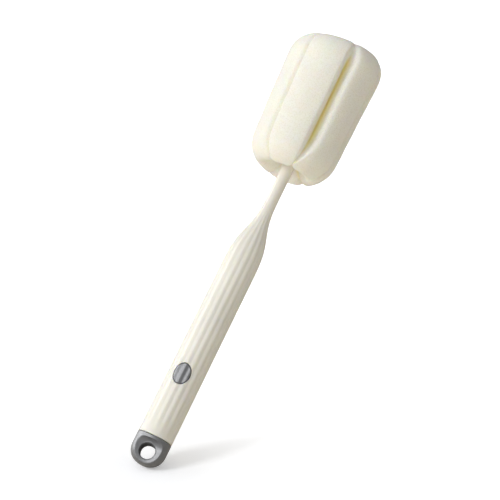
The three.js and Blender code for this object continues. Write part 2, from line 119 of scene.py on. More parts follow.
class HandleSizes(bpy.types.PropertyGroup):
    """Grip, shoulder and neck."""

    tail_diameter: length("Grip at tail", "Grip diameter at the seam with the end cap", 23.0)
    shoulder_diameter: length("Grip at shoulder", "Grip diameter where the shoulder starts", 22.5)
    neck_diameter: length("Neck", "Diameter of the straight neck", 7.9)
    grip_length: length("Grip length", "From the seam to the start of the shoulder", 117.9)
    shoulder_length: length("Shoulder length", "From the grip to the straight neck", 53.4)
    shoulder_steepness: number("Shoulder steepness", "How sharply the shoulder falls", 2.3)
    flute_count: number("Flutes", "Flutes round the grip", 16)
    flute_depth: length("Flute depth", "From a ridge to the hollow beside it", 0.36)
    flute_fade: length("Flute fade", "Length over which the flutes rise at the tail", 14.0)
    bore: length("Grip bore", "Inner diameter of the grip", 18.2)
    neck_bore: length("Neck bore", "Inner diameter of the neck", 3.6)
    edge: length("Edge", "Radius of the broken edges", 0.35)
    window_rim: length("Window rim", "Radius of the edge round the button", 0.45)
    window_gap: length("Window gap", "Gap round the button", 0.35)


class ButtonSizes(bpy.types.PropertyGroup):
    """Oval release button."""

    height: length("Length", "Along the grip", 13.6)
    width: length("Width", "Across the grip", 10.4)
    edge: length("Edge", "Radius of the button's edge", 0.5)
    flute_gain: number("Flute gain", "Depth of the button's flutes in flutes of the grip", 1.6)
    flange: length("Flange", "How far the hidden flange stands out", 1.4)
    flange_thickness: length("Flange thickness", "Thickness of the hidden flange", 1.5)
    wedge_width: length("Wedge width", "Width of the hidden wedge", 5.0)


class CapSizes(bpy.types.PropertyGroup):
    """End cap with its hanging hole."""

    hole: length("Hanging hole", "Diameter of the hanging hole", 9.9)
    rim: length("Hole rim", "Radius of the rim of the hole", 0.95)
    tail_depth: length("Tail depth", "Height of the rounded end", 11.0)
    tail_fullness: number("Tail fullness", "2 is an ellipse, more is squarer", 2.2)
    scoop_radius: length("Scoop radius", "Hollow curve above the hole", 5.4)
    scoop_rise: length("Scoop rise", "Top of the scoop above the hole's centre", 7.8)
    softness: number("Edge sharpness", "Power of the blend between the faces", 28.0)
    dish_radius: length("Dish radius", "Hollow of the face from side to side", 22.0)
    spigot: length("Spigot", "Diameter of the part that plugs the grip", 17.6)


class FoamSizes(bpy.types.PropertyGroup):
    """Six-lobed foam head."""

    lobes: number("Lobes", "Lobes round the head", 6)
    length: length("Length", "From the underside to the top", 90.7)
    overlap: length("Overlap", "How much of the neck is inside the head", 43.1)
    mouth: length("Mouth", "Diameter of the opening round the neck", 10.5)
    low_diameter: length("Lower diameter", "Across the lobes near the neck", 56.8)
    high_diameter: length("Upper diameter", "Across the lobes near the top", 61.4)
    low_out: length("Lower rounding", "Rounding of the lower edge, outwards", 11.0)
    low_up: length("Lower rounding height", "Rounding of the lower edge, along the head", 16.0)
    high_out: length("Upper rounding", "Rounding of the upper edge, outwards", 11.8)
    high_up: length("Upper rounding height", "Rounding of the upper edge, along the head", 14.6)
    groove_depth: length("Groove depth", "Depth of each groove", 8.0)
    half_mouth: length("Half mouth", "Half of a groove's mouth", 4.6)
    half_slit: length("Half slit", "Half of a groove's width at the closed ends", 0.6)
    crisp_edge: length("Crisp edge", "Softness of a groove's edge on the front and every other lobe", 0.5)
    soft_edge: length("Soft edge", "Softness of a groove's edge on the lobes between", 1.2)
    press: number("Press", "How far the groove left of the front lobe is pressed shut", 0.7)
    rear_shut: number("Rear closing", "Share by which the grooves at the rear right close at the rim", 0.3)
    dimple: length("End dimple", "Depth of the dimple at each end", 6.0)
    hollow: length("Underside hollow", "Rise of the underside from the lobes to the neck", 7.0)
    lean: number("Lean", "Sideways drift of the soft foam along its length", 0.016)
    tilt: number("Tilt", "Rise of the top from side to side", 0.1)
    low_tilt: number("Underside tilt", "Rise of the underside from side to side", 0.05)
    rock: number("Underside rock", "Rise of the underside from back to front", 0.06)
    arch: length("Underside arch", "Rise of the underside from the middle to the sides", 3.0)
    aside: length("Aside", "How far the soft foam sits to one side of the neck", 1.2)


class Finishes(bpy.types.PropertyGroup):
    """Colours of the pieces."""

    cream: colour("Cream plastic", "Handle", (0.845, 0.818, 0.742))
    grey: colour("Grey plastic", "Cap and button", (0.15, 0.157, 0.173))
    foam: colour("Foam", "Head", (0.95, 0.941, 0.875))
    white: colour("White plastic", "Hidden mouldings", (0.78, 0.78, 0.74))
    rubber: colour("Rubber", "Rings", (0.03, 0.03, 0.032))
    steel: colour("Steel", "Rod, washer and spring", (0.6, 0.61, 0.62))


class StageSettings(bpy.types.PropertyGroup):
    """Camera and floor."""

    azimuth: degrees("Azimuth", "Camera to the right of the button", 14.5)
    tilt: degrees("Tilt", "Camera towards the tail", 10.65)
    lean: degrees("Lean", "Lean of the brush in the picture", 26.24)
    distance: length("Distance", "Camera to the brush", 2000.0)
    lens: number("Lens", "Focal length in millimetres", 228.3)
    aim_height: length("Aim height", "Point on the axis in the middle of the picture", 70.5)
    aim_side: length("Aim side", "How far the middle of the picture is right of the axis", 1.3)
    floor_angle: degrees("Floor angle", "Angle at which the camera looks down on the floor", 18.0)


class CupBrushSettings(bpy.types.PropertyGroup):
    """All the settings of the brush."""

    handle: bpy.props.PointerProperty(type=HandleSizes)
    button: bpy.props.PointerProperty(type=ButtonSizes)
    cap: bpy.props.PointerProperty(type=CapSizes)
    foam: bpy.props.PointerProperty(type=FoamSizes)
    finish: bpy.props.PointerProperty(type=Finishes)
    stage: bpy.props.PointerProperty(type=StageSettings)


def smooth(low, high, value):
    """Smooth step: 0 at low, 1 at high, level at both."""
    share = np.clip((value - low) / (high - low), 0.0, 1.0)
    return share * share * (3.0 - 2.0 * share)


def rounding(first, steps):
    """Quarter of a round edge from an angle in degrees to 90: the shares 1 - sin and 1 - cos."""
    turn = np.radians(np.linspace(first, 90.0, steps))
    return 1 - np.sin(turn), 1 - np.cos(turn)


def about_axis(radius, angle, height):
    """Points about Z, with angle 0 at the button: x = r sin a, y = -r cos a."""
    return np.stack(np.broadcast_arrays(radius * np.sin(angle), -radius * np.cos(angle), height), -1)


class Shell:
    """Points and quads of one closed surface, gathered part by part."""

    def __init__(self):
        self.points = []
        self.quads = []
        self.count = 0
        # A share for each point, written as the 'depth' attribute, that marks where the finishes paint shade
        self.depth = None

    def add(self, points):
        """Adds an array of points and returns their numbers in the same layout."""
        layout = points.shape[:-1]
        flat = points.reshape(-1, 3)
        numbers = np.arange(self.count, self.count + len(flat)).reshape(layout)
        self.points.append(flat)
        self.count += len(flat)
        return numbers

    def join(self, first, second):
        """Quads between two closed loops of as many points."""
        ahead = np.roll(first, -1), np.roll(second, -1)
        self.quads.append(np.stack([first, ahead[0], ahead[1], second], -1).reshape(-1, 4))

    def cover(self, grid, keep=None):
        """Quads of a grid of point numbers that closes on itself along its second axis."""
        right = np.roll(grid, -1, axis=1)
        quads = np.stack([grid[:-1], right[:-1], right[1:], grid[1:]], -1)
        self.quads.append(quads[keep] if keep is not None else quads.reshape(-1, 4))

    def rings(self, points):
        """Adds a stack of closed loops, rows x points, with the quads between them."""
        grid = self.add(points)
        self.cover(grid)
        return grid


def make_piece(name, shell, material, body, nodes, crease=35.0):
    """Turns a shell into a closed, smooth-shaded object that rides on a body for CAD nodes."""
    mesh = bpy.data.meshes.new(name)
    mesh.from_pydata(np.concatenate(shell.points).tolist(), [], np.concatenate(shell.quads).tolist())
    # The 'depth' attribute is a mask for painted shade: the grey darkens inside the hanging hole and the foam
    # turns warmer and darker in its grooves
    if shell.depth is not None:
        depth = mesh.attributes.new("depth", "FLOAT", "POINT")
        depth.data.foreach_set("value", shell.depth.astype(np.float32))
    work = bmesh.new()
    work.from_mesh(mesh)
    bmesh.ops.remove_doubles(work, verts=work.verts, dist=SAME_POINT)
    bmesh.ops.dissolve_degenerate(work, edges=work.edges, dist=NO_EDGE)
    bmesh.ops.recalc_face_normals(work, faces=work.faces)
    work.to_mesh(mesh)
    work.free()
    mesh.shade_smooth()
    mesh.set_sharp_from_angle(angle=math.radians(crease))
    mesh.materials.append(material)
    piece = bpy.data.objects.new(name, mesh)
    bpy.context.scene.collection.objects.link(piece)
    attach(piece, body)
    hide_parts(*nodes)
    return piece


def turned_points(radius, height, steps):
    """Surface of revolution about Z, one row for each profile point."""
    angle = np.linspace(0.0, 2.0 * np.pi, steps, endpoint=False)
    return about_axis(np.asarray(radius)[:, None], angle, np.asarray(height)[:, None])


def patch_loop(grid, rows, columns):
    """Values of a grid round one of its rectangles, in order."""
    (low, high), (left, right) = rows, columns
    return np.concatenate([
        grid[low, left:right], grid[low:high, right], grid[high, right:left:-1], grid[high:low:-1, left],
    ])


def opened_sheet(shell, surface, angles, heights, points, openings):
    """Sheet over angles x heights with oval openings.

    Each opening is a rectangle of the grid that gives way to rings which run from the rectangle's
    edge to the oval: point = (1 - t) * rectangle + t * oval, put back on the surface.
    Returns the grid of numbers and, for each opening, its innermost ring and the oval angle there.
    """
    grid = shell.add(points)
    keep = np.ones((len(heights) - 1, len(angles)), bool)
    tall, wide = np.meshgrid(heights, angles, indexing="ij")
    edges = []
    for opening in openings:
        rows, columns = opening["rows"], opening["columns"]
        keep[slice(*rows), slice(*columns)] = False
        angle, height = patch_loop(wide, rows, columns), patch_loop(tall, rows, columns)
        turn = opening["turn"](angle, height)
        oval_angle, oval_height = opening["oval"](turn)
        share = np.linspace(0.0, 1.0, opening["rings"] + 1)[1:, None]
        ring_angle = (1 - share) * angle + share * oval_angle
        ring_height = (1 - share) * height + share * oval_height
        rings = shell.add(surface(ring_angle, ring_height))
        shell.join(patch_loop(grid, rows, columns), rings[0])
        shell.cover(rings)
        edges.append((rings[-1], turn))
    shell.cover(grid, keep)
    return grid, edges


# Handle

# Least wall round the bore, the grip ring's groove and its broken lips, half the step of the seal's pocket
HANDLE_WALL, RING_GROOVE, GROOVE_LIP, POCKET_STEP = 2.4 * MM, 1.25 * MM, 0.12 * MM, 0.02 * MM
# Points for each flute, and rows of the tail, below and above the window, and of the shoulder
FLUTE_STEPS = 18
TAIL_ROWS, LOW_ROWS, HIGH_ROWS, SHOULDER_ROWS = 12, 4, 8, 60
# Rows, half height and half angle of the patch that the button's window is cut from, and the rings round it
WINDOW_ROWS, WINDOW_REACH, WINDOW_TURN = 36, 9 * MM, math.radians(33.75)
WINDOW_RINGS, BORE_RINGS = 8, 2
# How far the bore's points are spread behind the window, as the bore is narrower than the outside
BORE_SPREAD = 0.35
# Keys on the neck: centre below the tip, half sizes, points round and rows
KEY_FROM_TIP, KEY_HALF, KEY_STEPS, KEY_ROWS = 21 * MM, (MM, 0.9 * MM, 9 * MM), 24, 13


def handle_radius(sizes, height):
    """Radius of the handle without flutes: neck + (grip - neck) / (1 + (u / (1 - u)) ** steepness)."""
    start = HANDLE_LOW.z + sizes.grip_length
    along = np.clip((height - HANDLE_LOW.z) / sizes.grip_length, 0.0, 1.0)
    grip = (sizes.tail_diameter * (1 - along) + sizes.shoulder_diameter * along) / 2
    fall = np.clip((height - start) / sizes.shoulder_length, 1e-6, 1 - 1e-6)
    share = 1.0 / (1.0 + (fall / (1.0 - fall)) ** sizes.shoulder_steepness)
    return sizes.neck_diameter / 2 + (grip - sizes.neck_diameter / 2) * share


def handle_surface(sizes, angle, height, gain=1.0):
    """Fluted outside: the plain radius plus half the flute depth times cos(count * angle), where a gain
    deepens the hollows. The flutes die out at the tail and up the shoulder."""
    plain = handle_radius(sizes, height)
    rise = smooth(HANDLE_LOW.z + MM, HANDLE_LOW.z + sizes.flute_fade, height)
    neck = sizes.neck_diameter / 2
    girth = np.sqrt(np.clip((plain - neck) / (sizes.shoulder_diameter / 2 - neck), 0.0, 1.0))
    wave = np.cos(sizes.flute_count * angle)
    radius = plain + sizes.flute_depth / 2 * (gain * (wave - 1) + 1) * rise * girth
    return about_axis(radius, angle, height)


def bore_radius(sizes, height):
    """Radius of the inside: a wide bore in the grip, a narrow one in the neck and a pocket for the seal."""
    radius = np.minimum(sizes.bore / 2, handle_radius(sizes, height) - HANDLE_WALL)
    radius = np.maximum(radius, sizes.neck_bore / 2)
    return np.where(height > SEAL_FLOOR, SEAL_HIGH.x + RING_SPARE, radius)


def bore_surface(sizes, angle, height):
    """Inside of the handle, turned about Z."""
    return about_axis(bore_radius(sizes, height), angle, height)


def window_opening(sizes, button, grow, rows, columns, rings, around=handle_radius):
    """Oval opening for the button, cut along Y in the outside or the bore: x = a cos t, z = b sin t."""
    wide = button.width / 2 + sizes.window_gap + grow
    tall = button.height / 2 + sizes.window_gap + grow

    def turn(angle, height):
        return np.arctan2((height - BUTTON_Z) / tall, around(sizes, height) * np.sin(angle) / wide)

    def oval(turns):
        height = BUTTON_Z + tall * np.sin(turns)
        return np.arcsin(wide * np.cos(turns) / around(sizes, height)), height

    return {"rows": rows, "columns": columns, "rings": rings, "turn": turn, "oval": oval}


def handle_rows(sizes):
    """Heights of the handle's rings, how far each is sunk below the surface, and the window's rows."""
    low, start = HANDLE_LOW.z, HANDLE_LOW.z + sizes.grip_length
    below, above = BUTTON_Z - WINDOW_REACH, BUTTON_Z + WINDOW_REACH
    short, deep = rounding(0.0, EDGE_STEPS)
    seam, end = low + sizes.edge * short[::-1], HANDLE_HIGH.z - sizes.edge * short
    plain = [
        np.linspace(low + sizes.edge, low + sizes.flute_fade, TAIL_ROWS)[1:],
        np.linspace(low + sizes.flute_fade, below, LOW_ROWS)[1:-1],
        np.linspace(below, above, WINDOW_ROWS + 1),
        np.linspace(above, start, HIGH_ROWS)[1:],
        np.linspace(start, start + sizes.shoulder_length, SHOULDER_ROWS)[1:],
    ]
    first = len(seam) + len(plain[0]) + len(plain[1])
    half = (RING_HIGH.z - RING_LOW.z) / 2 + RING_SPARE
    depth = sizes.neck_diameter / 2 - RING_HIGH.x + RING_GROOVE
    groove = RING_Z + np.array([-half - GROOVE_LIP, -half, -half, half, half, half + GROOVE_LIP])
    groove_sunk = np.array([0.0, GROOVE_LIP, depth, depth, GROOVE_LIP, 0.0])
    pocket = SEAL_FLOOR + POCKET_STEP * np.array([-1.0, 1.0])
    heights = np.concatenate([seam, *plain, groove, pocket, end])
    sunk = np.concatenate([
        sizes.edge * deep[::-1], np.zeros(sum(map(len, plain))), groove_sunk, 0 * pocket, sizes.edge * deep,
    ])
    return heights, sunk, (first, first + WINDOW_ROWS)


def add_key(shell, centre, half, squareness=0.35):
    """Rounded bar: a superellipsoid with powered sines and cosines of two angles."""
    around = np.linspace(0, 2 * np.pi, KEY_STEPS, endpoint=False)
    up = np.linspace(-np.pi / 2, np.pi / 2, KEY_ROWS)[:, None]

    def power(value):
        return np.sign(value) * np.abs(value) ** squareness

    x = half[0] * power(np.cos(up)) * power(np.cos(around))
    y = half[1] * power(np.cos(up)) * power(np.sin(around))
    z = half[2] * power(np.sin(up)) * np.ones_like(around)
    shell.rings(np.stack([x, y, z], -1) + np.array(centre))


class BRUSH_OT_handle(bpy.types.Operator):
    """Makes the fluted handle: outside, window for the button, inside and the keys on the neck"""

    bl_idname = "cupbrush.handle"
    bl_label = "Handle"

    def execute(self, context):
        settings = context.scene.cup_brush
        sizes, button = settings.handle, settings.button
        heights, sunk, rows = handle_rows(sizes)
        steps = sizes.flute_count * FLUTE_STEPS
        angles = np.linspace(-np.pi, np.pi, steps, endpoint=False)
        half = int(round(WINDOW_TURN / (2 * np.pi / steps)))
        columns = (steps // 2 - half, steps // 2 + half)
        outside = handle_surface(sizes, angles, heights[:, None])
        radius = np.hypot(outside[..., 0], outside[..., 1])
        outside[..., :2] *= ((radius - sunk[:, None]) / radius)[..., None]
        shell = Shell()
        opening = window_opening(sizes, button, sizes.window_rim, rows, columns, WINDOW_RINGS)
        outer, ((edge, turn),) = opened_sheet(
            shell, partial(handle_surface, sizes), angles, heights, outside, [opening]
        )
        # The bore's opening keeps the turns of the outer one, so the wall between them runs straight in
        opening = window_opening(sizes, button, 0.0, rows, columns, BORE_RINGS, bore_radius)
        opening["turn"] = lambda angle, height: turn
        angles = angles + BORE_SPREAD * np.sin(angles)
        inside = bore_surface(sizes, angles, heights[:, None])
        inner, ((inner_edge, _),) = opened_sheet(
            shell, partial(bore_surface, sizes), angles, heights, inside, [opening]
        )
        shell.join(outer[0], inner[0])
        shell.join(outer[-1], inner[-1])
        rim_rows = []
        for inward, down in zip(*rounding(RIM_START, EDGE_STEPS)):
            rim = window_opening(sizes, button, sizes.window_rim * inward, rows, columns, 1)
            points = handle_surface(sizes, *rim["oval"](turn))
            points[:, 1] += sizes.window_rim * down
            rim_rows.append(points)
        rims = shell.rings(np.stack(rim_rows))
        shell.join(edge, rims[0])
        shell.join(rims[-1], inner_edge)
        for side in (-1, 1):
            add_key(shell, (side * sizes.neck_diameter / 2, 0, HANDLE_HIGH.z - KEY_FROM_TIP), KEY_HALF)
        material = cream_plastic(settings.finish.cream)
        make_piece("handle", shell, material, "handle", ["handle_shell"])
        return {"FINISHED"}


# Points round the button, rows of its face and of its back
BUTTON_STEPS, FACE_ROWS, BACK_ROWS = 180, 28, 6
# Back and ramp of the wedge, from the button's middle, and radius of the block that it drives
WEDGE_BACK, WEDGE_RAMP, BLOCK_RADIUS = 3.2 * MM, 0.7 * MM, 3.6 * MM


class BRUSH_OT_button(bpy.types.Operator):
    """Makes the oval button: fluted face, rounded edge, skirt, hidden flange and wedge"""

    bl_idname = "cupbrush.button"
    bl_label = "Button"

    def execute(self, context):
        settings = context.scene.cup_brush
        sizes, handle = settings.button, settings.handle
        turn = np.linspace(0, 2 * np.pi, BUTTON_STEPS, endpoint=False)

        def oval(grow, share):
            wide = (sizes.width / 2 + grow) * share * np.cos(turn)
            return wide, BUTTON_Z + (sizes.height / 2 + grow) * share * np.sin(turn)

        def face(grow, share, sunk):
            wide, height = oval(grow, share)
            angle = np.arcsin(wide / handle_radius(handle, height))
            points = handle_surface(handle, angle, height, sizes.flute_gain)
            points[:, 1] += sunk
            return points

        def drum(grow, share, radius):
            wide, height = oval(grow, share)
            return np.stack([wide, -np.sqrt(radius**2 - wide**2), height], -1)

        rows = [face(-sizes.edge, share, 0.0) for share in np.linspace(0.0, 1.0, FACE_ROWS)]
        for inward, down in zip(*rounding(RIM_START, EDGE_STEPS)):
            rows.append(face(-sizes.edge * inward, 1.0, sizes.edge * down))
        outer = handle.bore / 2 - GAP
        inner = outer - sizes.flange_thickness
        rows.append(drum(0.0, 1.0, outer))
        rows.append(drum(sizes.flange, 1.0, outer))
        rows += [drum(sizes.flange, share, inner) for share in np.linspace(1.0, 0.0, BACK_ROWS)]
        shell = Shell()
        shell.rings(np.stack(rows))
        self.add_wedge(shell, sizes, inner)
        material = grey_plastic(settings.finish.grey)
        make_piece("button", shell, material, "button", ["release_button"])
        return {"FINISHED"}

    def add_wedge(self, shell, sizes, top):
        """Hidden wedge: a five-sided outline in Y and Z carried across X, closed at both ends."""
        tip, root = BUTTON_HIGH.y, -top - MM
        back, ramp = BUTTON_Z - WEDGE_BACK, BUTTON_Z + WEDGE_RAMP
        y = np.array([root, tip, tip, -BLOCK_RADIUS, root])
        z = np.array([back, back, ramp - tip, ramp + BLOCK_RADIUS, ramp + BLOCK_RADIUS])
        across = np.array([-1.0, -1.0, 1.0, 1.0])[:, None] * sizes.wedge_width / 2
        shrink = np.array([0.0, 1.0, 1.0, 0.0])[:, None]
        middle_y, middle_z = y.mean(), z.mean()
        points = np.stack([
            across + 0 * y, middle_y + (y - middle_y) * shrink, middle_z + (z - middle_z) * shrink,
        ], -1)
        shell.rings(points)


# End cap

# Wall and floor of the hollow spigot, and depth of its ring's groove
SPIGOT_WALL, SPIGOT_FLOOR, SPIGOT_GROOVE = 2.2 * MM, 2.5 * MM, 1.15 * MM
# Rows of the rounded end, of the side, and of the lip from below to above the scoop's top, where they stand
# close and where the hole's patch leaves out the last ones
END_CURVE_ROWS, CAP_SIDE_ROWS, LIP_ROWS, LIP_LEFT_OUT = 40, 14, 16, 5
LIP_BELOW, LIP_ABOVE = 1.2 * MM, 0.6 * MM
# Greatest reach of a face, steps that find it, least cosine and radius, and metres that stand for no face
FACE_MOST, FACE_TRIES, LEAST_COSINE, LEAST_RADIUS, NO_FACE = 12.5 * MM, 14, 1e-3, 1e-7, 1.0
# Points round the cap, half angle and margin of the patch that the hole is cut from, and the rings round it
CAP_STEPS, HOLE_TURN, HOLE_MARGIN, HOLE_RINGS = 240, math.radians(54), 1.2 * MM, 10
HOLE_RIM_START, HOLE_RIM_STEPS = 12.0, 8


def cap_profile(handle, sizes):
    """Radius and height of the cap's rings from the tail's tip up, and how many of them the grip hides."""
    low, seam = CAP_LOW.z, HANDLE_LOW.z - GAP
    radius, spigot = handle.tail_diameter / 2, sizes.spigot / 2
    turn = np.radians(np.linspace(0, 90, END_CURVE_ROWS))
    power = 2 / sizes.tail_fullness
    tail_r = radius * np.sin(turn) ** power
    tail_z = low + sizes.tail_depth * (1 - np.cos(turn) ** power)
    scoop_top = HOLE_Z + sizes.scoop_rise
    side_z = np.concatenate([
        np.linspace(low + sizes.tail_depth, scoop_top - LIP_BELOW, CAP_SIDE_ROWS)[1:],
        np.linspace(scoop_top - LIP_BELOW, scoop_top + LIP_ABOVE, LIP_ROWS)[1:],
    ])
    short, deep = rounding(0.0, EDGE_STEPS)
    wall, floor, groove = spigot - SPIGOT_WALL, seam + SPIGOT_FLOOR, spigot - SPIGOT_GROOVE
    ring_low, ring_high = CAP_RING_LOW.z - RING_SPARE, CAP_RING_HIGH.z + RING_SPARE
    top = CAP_HIGH.z
    end_r = np.array([spigot, spigot, groove, groove, spigot, spigot, wall, wall, 0.0])
    end_z = np.array([seam, ring_low, ring_low, ring_high, ring_high, top, top, floor, floor])
    side_r, edge_r = np.full(len(side_z), radius), radius - handle.edge * deep
    radii = np.concatenate([tail_r, side_r, edge_r, end_r])
    return radii, np.concatenate([tail_z, side_z, seam - handle.edge * short, end_z]), len(end_r)


def scoop_depth(sizes, height):
    """Distance of the scooped face from the middle plane: level at the tab, then a quarter circle up."""
    foot = HOLE_Z + sizes.scoop_rise - sizes.scoop_radius
    rise = np.clip(height - foot, 0.0, sizes.scoop_radius)
    depth = TAB_HALF + sizes.scoop_radius - np.sqrt(sizes.scoop_radius**2 - rise**2)
    return np.where(height > foot + sizes.scoop_radius, NO_FACE, depth)


def face_reach(sizes, angle, height):
    """Distance from the axis to the scooped, slightly hollow face in a direction, by repeated steps."""
    turn, lean = np.maximum(np.abs(np.cos(angle)), LEAST_COSINE), np.abs(np.sin(angle))
    level = scoop_depth(sizes, height)
    reach = level / turn
    for _ in range(FACE_TRIES):
        side = np.minimum(reach, FACE_MOST) * lean
        reach = (level + sizes.dish_radius - np.sqrt(sizes.dish_radius**2 - side**2)) / turn
    return reach


def cap_radius(sizes, plain, angle, height):
    """Soft least of the round body and the scooped faces: (a ** -p + b ** -p) ** (-1 / p)."""
    face = face_reach(sizes, angle, height)
    power = sizes.softness
    plain = np.maximum(plain, LEAST_RADIUS)
    return plain / (1.0 + (plain / face) ** power) ** (1.0 / power)


class BRUSH_OT_end_cap(bpy.types.Operator):
    """Makes the end cap: rounded tail, scooped faces, hanging hole with soft rims, hidden spigot"""

    bl_idname = "cupbrush.end_cap"
    bl_label = "End cap"

    def execute(self, context):
        settings = context.scene.cup_brush
        sizes, handle = settings.cap, settings.handle
        plain, heights, hidden = cap_profile(handle, sizes)
        shown = len(heights) - hidden
        radius = sizes.hole / 2
        outer = radius + sizes.rim
        near = np.abs(heights[:shown - EDGE_STEPS - LIP_LEFT_OUT] - HOLE_Z) < outer + HOLE_MARGIN
        rows_near = np.nonzero(near)[0]
        rows = (int(rows_near[0]), int(rows_near[-1]))
        angles = np.linspace(-np.pi / 2, 1.5 * np.pi, CAP_STEPS, endpoint=False)
        half = int(round(HOLE_TURN / (2 * np.pi / CAP_STEPS)))

        def surface(angle, height):
            body = np.interp(height, heights[:shown], plain[:shown])
            return about_axis(cap_radius(sizes, body, angle, height), angle, height)

        def ring(reach, turn, y):
            return np.stack([reach * np.cos(turn), y, HOLE_Z + reach * np.sin(turn)], -1)

        reach = cap_radius(sizes, plain[:, None], angles, heights[:, None])
        points = about_axis(reach, angles, heights[:, None])
        openings = [
            self.hole_opening(sizes, outer, rows, (middle - half, middle + half), centre)
            for middle, centre in ((CAP_STEPS // 4, 0.0), (3 * CAP_STEPS // 4, np.pi))
        ]
        shell = Shell()
        _, edges = opened_sheet(shell, surface, angles, heights, points, openings)
        for (edge, turn), side in zip(edges, (-1.0, 1.0)):
            face = np.concatenate(shell.points)[edge][:, 1]
            rim_rows = [
                ring(radius + sizes.rim * inward, turn, face - side * sizes.rim * down)
                for inward, down in zip(*rounding(HOLE_RIM_START, HOLE_RIM_STEPS))
            ]
            rims = shell.rings(np.stack([*rim_rows, ring(radius, turn, 0 * turn)]))
            shell.join(edge, rims[0])
        turned = np.concatenate(shell.points)
        from_hole = np.hypot(turned[:, 0], turned[:, 2] - HOLE_Z)
        # Painted shade mask: 1 on the hanging hole's wall, falling to 0 across the rim, where the grey finish
        # darkens the colour
        shell.depth = 1 - smooth(radius, outer, from_hole)
        cosine, sine = math.cos(TAB_TURN), math.sin(TAB_TURN)
        shell.points = [turned @ np.array([[cosine, sine, 0.0], [-sine, cosine, 0.0], [0.0, 0.0, 1.0]])]
        material = grey_plastic(settings.finish.grey)
        make_piece("hanging_cap", shell, material, "handle", ["end_cap"])
        return {"FINISHED"}

    def hole_opening(self, sizes, reach, rows, columns, centre):
        """Round opening in a scooped face: x = r cos t, z = r sin t, at the angle that has that x."""
        sign = 1.0 if centre == 0.0 else -1.0

        def turn(angle, height):
            side = np.tan(sign * (angle - centre)) * scoop_depth(sizes, height)
            return np.arctan2(height - HOLE_Z, side)

        def oval(turns):
            height = HOLE_Z + reach * np.sin(turns)
            side = reach * np.cos(turns)
            depth = np.minimum(scoop_depth(sizes, height), 2 * TAB_HALF)
            depth = depth + sizes.dish_radius - np.sqrt(sizes.dish_radius**2 - side**2)
            return centre + sign * np.arctan(side / depth), height

        return {"rows": rows, "columns": columns, "rings": HOLE_RINGS, "turn": turn, "oval": oval}


# Foam head

# Points across a lobe, how they bunch at its edges, and rows of the roundings, the side and the ends
LOBE_STEPS, LOBE_BUNCHING = 60, 1.5
ROUND_ROWS, SIDE_ROWS, END_ROWS = 34, 90, 36
# Level, in shares of the head's height, up to which a groove is closed, over which it opens, and the power
CLOSED_TO, OPEN_OVER, OPEN_POWER = 0.01, 0.26, 2.2
# How far the grooves are open on the underside, and how far inside and outside its edge that dies out
UNDER_OPEN, UNDER_INSIDE, UNDER_OUTSIDE = 0.55, 3 * MM, 4 * MM
# Shares by which the grooves grow narrow and shallow at the top, each with the level where that starts
TOP_NARROWING, NARROW_START, TOP_SHALLOWING, SHALLOW_START = 0.4, 0.86, 0.85, 0.85
# Least softness and least depth of a closed groove, and softness of its floor
LEAST_SOFT, LEAST_DEEP, FLOOR_SOFT = 0.25, 0.1, 0.35
# Share of half a lobe over which the press grows, height of the moved underside, and tries at the mouth
PRESS_SHARE, NEAR_SHARE, MOUTH_TRIES = 0.3, 0.3, 40
# Waves of the skin: height, wavelength, number and seed
BROAD_WAVE, FINE_WAVE = (0.08 * MM, 16 * MM, 12, 3), (0.04 * MM, 2.2 * MM, 24, 7)
# Range of the waves' pace, and distance from the bore over which the soft forms set in
WAVE_PACE, FADE_OVER = (0.7, 1.4), 4 * MM


def waves(points, scale, count, seed):
    """Sum of seeded sine waves in random directions, about -1 to 1, one wavelength per scale."""
    random = np.random.default_rng(seed)
    directions = random.normal(size=(count, 3))
    directions /= np.linalg.norm(directions, axis=1)[:, None]
    phases = random.uniform(0, 2 * np.pi, count)
    stretch = random.uniform(*WAVE_PACE, count)
    total = np.zeros(points.shape[:-1])
    for direction, phase, factor in zip(directions, phases, stretch):
        total += np.sin(points @ direction * (2 * np.pi * factor / scale) + phase)
    return total / math.sqrt(count)


def crest_profile(sizes, low, high, start):
    """Outline of a lobe's crest from the bore to the top: level, rounded, side, rounded, level."""
    low_r, high_r = sizes.low_diameter / 2, sizes.high_diameter / 2
    turn = np.radians(np.linspace(0, 90, ROUND_ROWS))
    share = np.linspace(0, 1, SIDE_ROWS)[1:-1]
    flat = np.linspace(0, 1, END_ROWS)
    side_low, side_high = low + sizes.low_up, high - sizes.high_up
    outer = np.concatenate([
        low_r - sizes.low_out * (1 - np.sin(turn)),
        low_r + (high_r - low_r) * share,
        high_r - sizes.high_out * (1 - np.cos(turn)),
        (high_r - sizes.high_out) * (1 - flat[1:]),
    ])
    inner = start + (low_r - sizes.low_out - start) * flat[:-1, None]
    height = np.concatenate([
        low + sizes.hollow * (1 - smooth(0.0, 1.0, flat[:-1])),
        low + sizes.low_up * (1 - np.cos(turn)),
        side_low + (side_high - side_low) * share,
        side_high + sizes.high_up * np.sin(turn),
        np.full(len(flat) - 1, high),
    ])
    return np.concatenate([inner, outer[:, None] + 0 * start]), height[:, None] + 0 * start


def groove_closed(level, shut):
    """How far a groove is closed at a level: by its share shut at the bottom, soon less and then slowly."""
    return shut * (1 - np.clip((level - CLOSED_TO) / OPEN_OVER, 0, 1)) ** OPEN_POWER


def groove_opening(sizes, level, radius, shut):
    """How far a groove is open: closed at the lower edge, full up the side, less at the top and below."""
    edge = sizes.low_diameter / 2 - sizes.low_out
    below = UNDER_OPEN * (1 - smooth(edge - UNDER_INSIDE, edge + UNDER_OUTSIDE, radius))
    narrow = 1 - TOP_NARROWING * smooth(NARROW_START, 1.0, level)
    return np.maximum((1 - groove_closed(level, shut)) * narrow, np.where(level < 0.5, below, 0.0))


def lobe_half(sizes, level, side, shut):
    """Half angle of a lobe: where grooves close, odd lobes spread and even ones keep their edges."""
    closed = groove_closed(level, shut) * (sizes.half_mouth - sizes.half_slit)
    return np.pi / sizes.lobes - side * closed / (sizes.low_diameter / 2)


